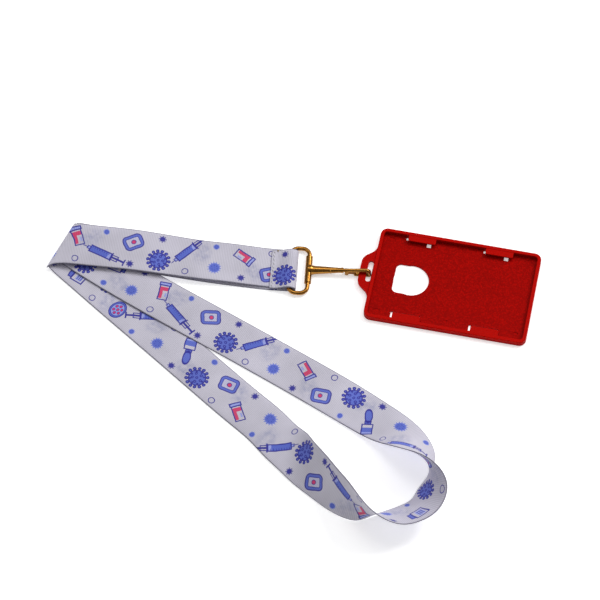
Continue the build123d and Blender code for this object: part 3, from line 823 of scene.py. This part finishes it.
class BADGE_OT_stage(bpy.types.Operator):
    """Sets the camera, the floor and the studio lights"""
    bl_idname = "badge.stage"
    bl_label = "Stage"

    def execute(self, context):
        look = context.scene.badge_holder.stage
        camera_data = bpy.data.cameras.new("camera")
        camera_data.lens = look.lens
        camera_data.clip_end = 20
        camera = bpy.data.objects.new("camera", camera_data)
        camera.location = look.eye
        camera.rotation_euler = look.aim
        context.scene.collection.objects.link(camera)
        context.scene.camera = camera
        half = look.floor_size / 2
        corners = np.array([(-half, -half, 0), (half, -half, 0), (half, half, 0), (-half, half, 0)])
        floor = put_mesh("studio_floor", corners, np.array([[0, 1, 2, 3]]), smooth=False)
        material, s, shader = new_material("studio_floor_paint")
        point = s.put("ShaderNodeTexCoord", out=3)
        tone = s.math("MULTIPLY_ADD", s.noise(3.0, point), 0.02, 0.99)
        grey = s.put("ShaderNodeCombineXYZ", {0: tone, 1: tone, 2: tone})
        base = s.vector("MULTIPLY", (*look.floor_colour,), grey)
        s.tree.links.new(base, shader.inputs["Base Color"])
        shader.inputs["Roughness"].default_value = 0.9
        shader.inputs["Specular IOR Level"].default_value = 0.1
        shader.inputs["Emission Color"].default_value = (1, 1, 1, 1)
        shader.inputs["Emission Strength"].default_value = look.floor_glow
        floor.data.materials.append(material)
        for name, place, size, power in LIGHTS:
            data = bpy.data.lights.new(name, "AREA")
            data.energy = power
            data.size = size
            lamp = bpy.data.objects.new(name, data)
            lamp.location = place
            aim = np.array(LIGHT_AIM) - np.array(place)
            flat = math.hypot(aim[0], aim[1])
            lamp.rotation_euler = (math.atan2(flat, -aim[2]), 0, math.atan2(aim[1], aim[0]) - math.pi / 2)
            context.scene.collection.objects.link(lamp)
        world = bpy.data.worlds.new("studio_world")
        context.scene.world = world
        context.scene.view_settings.view_transform = "Standard"
        world.use_nodes = True
        sky = NodeSheet(world.node_tree)
        facing = sky.vector("DOT_PRODUCT", sky.put("ShaderNodeTexCoord", out=0), SKY_SOURCE, out=1)
        glow = sky.math("MULTIPLY_ADD", facing, 0.5, 0.5, clamp=True)
        glow = sky.math("POWER", glow, SKY_FALLOFF)
        glow = sky.math("MULTIPLY_ADD", glow, look.sky_bright - look.sky_dim, look.sky_dim)
        back = world.node_tree.nodes["Background"]
        back.inputs[0].default_value = (1, 1, 1, 1)
        world.node_tree.links.new(glow, back.inputs[1])
        return {"FINISHED"}


class BADGE_OT_ribbon(bpy.types.Operator):
    """Weaves the printed ribbon along its route"""
    bl_idname = "badge.ribbon"
    bl_label = "Ribbon"

    def execute(self, context):
        look = context.scene.badge_holder.ribbon
        verts, quads, uv, length = ribbon_shape(look.width, look.thickness, look.steps, look.columns)
        ribbon = put_mesh("printed_ribbon", verts, quads, uv)
        ribbon.data.materials.append(ribbon_material(look))
        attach(ribbon, "strap")
        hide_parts("lanyard_ribbon")
        return {"FINISHED"}


def stitch_paths(look):
    """Each stitch is a low arch: it rises as the sine of the way along and dives into the cloth."""
    t = np.linspace(0, 1, 13)
    along = (t - 0.5) * look.length
    rise = STITCH_ARCH * np.sin(np.pi * t) - STITCH_DIP
    radius = look.diameter / 2 * np.clip(np.sin(np.pi * np.clip(t, 0.02, 0.98)) * 3, 0.25, 1)
    pitch = (SEAM_LENGTH - 2 * SEAM_MARGIN) / (look.count - 1)
    for i in range(look.count):
        y = SEAM_SHIFT - SEAM_LENGTH / 2 + SEAM_MARGIN + i * pitch
        x = np.full_like(t, SEAM_X) - along * math.sin(look.slant)
        path = np.stack([x, y + along * math.cos(look.slant), SEAM_TOP + rise], -1)
        yield clip_points(path), radius


class BADGE_OT_seam(bpy.types.Operator):
    """Sews the seam across the strap end and ties its knot"""
    bl_idname = "badge.seam"
    bl_label = "Seam"

    def execute(self, context):
        look = context.scene.badge_holder.thread
        sides = 10
        shapes = [tube(path, radius, sides) for path, radius in stitch_paths(look)]
        self.thread("seam_thread", shapes, "seam_stitches", "white_thread", look.colour)
        t = np.linspace(0, 2 * np.pi, 72, endpoint=False)
        x = np.sin(t) + 1.6 * np.sin(2 * t)
        y = np.cos(t) - 1.6 * np.cos(2 * t)
        knot = np.stack([x, y, -np.sin(3 * t)], -1) * np.array(KNOT_SIZE) * MM
        low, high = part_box("seam_end_knot")
        centre = np.array((low + high) / 2)
        shape = tube(knot + centre, KNOT_RADIUS, sides, True)
        self.thread("thread_knot", [shape], "seam_end_knot", "ochre_thread", look.knot_colour)
        return {"FINISHED"}

    def thread(self, name, shapes, node, slot, colour):
        verts, quads = join(shapes)
        uv = np.zeros((len(quads), 4, 2))
        rows = verts[quads]
        uv[..., 0] = (rows[..., 0] + rows[..., 1]) / (1.2 * MM)
        uv[..., 1] = rows[..., 2] / (0.5 * MM)
        piece = put_mesh(name, verts, quads, uv)
        piece.data.materials.append(thread_material(name + "_yarn", tuple(colour)))
        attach(piece, "strap")
        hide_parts(node)


class BADGE_OT_holder(bpy.types.Operator):
    """Gives the card holder its moulded red plastic"""
    bl_idname = "badge.holder"
    bl_label = "Card holder"

    def execute(self, context):
        dress("card_holder", plastic_material(context.scene.badge_holder.plastic))
        return {"FINISHED"}


class BADGE_OT_clip(bpy.types.Operator):
    """Gives the clip its plated metal and spring steel"""
    bl_idname = "badge.clip"
    bl_label = "Clip"

    def execute(self, context):
        look = context.scene.badge_holder.brass
        gold, dark = tuple(look.colour), tuple(look.dark_colour)
        plate = brass_material("gold_plate", gold, dark, look.roughness)
        for node in ("ring_loop", "barrel_head", "swivel_hook", "gate", "gate_pin", "stem_pin"):
            dress(node, plate)
        steel = tuple(look.spring_colour)
        dress("gate_spring", brass_material("spring_wire", steel, tuple(c * 0.5 for c in steel), 0.3, 0.5))
        return {"FINISHED"}


class BADGE_PT_panel(bpy.types.Panel):
    """Lists the badge holder's settings and steps"""
    bl_idname = "BADGE_PT_panel"
    bl_label = "Badge holder"
    bl_space_type = "VIEW_3D"
    bl_region_type = "UI"
    bl_category = "Badge holder"

    def draw(self, context):
        for group in ("ribbon", "thread", "plastic", "brass", "stage"):
            settings = getattr(context.scene.badge_holder, group)
            box = self.layout.box()
            box.label(text=group.capitalize())
            for name in settings.__annotations__:
                box.prop(settings, name)
        for step in OPERATORS:
            self.layout.operator(step.bl_idname)


SETTINGS = (BadgeRibbonSettings, BadgeThreadSettings, BadgePlasticSettings, BadgeBrassSettings,
            BadgeStageSettings, BadgeHolderSettings)
OPERATORS = (BADGE_OT_stage, BADGE_OT_ribbon, BADGE_OT_seam, BADGE_OT_holder, BADGE_OT_clip)
CLASSES = SETTINGS + OPERATORS + (BADGE_PT_panel,)


def register():
    for cls in CLASSES:
        bpy.utils.register_class(cls)
    bpy.types.Scene.badge_holder = PointerProperty(type=BadgeHolderSettings)


def unregister():
    del bpy.types.Scene.badge_holder
    for cls in reversed(CLASSES):
        bpy.utils.unregister_class(cls)


def main():
    register()
    for step in OPERATORS:
        group, name = step.bl_idname.split(".")
        getattr(getattr(bpy.ops, group), name)()


if __name__ == "__main__":
    main()
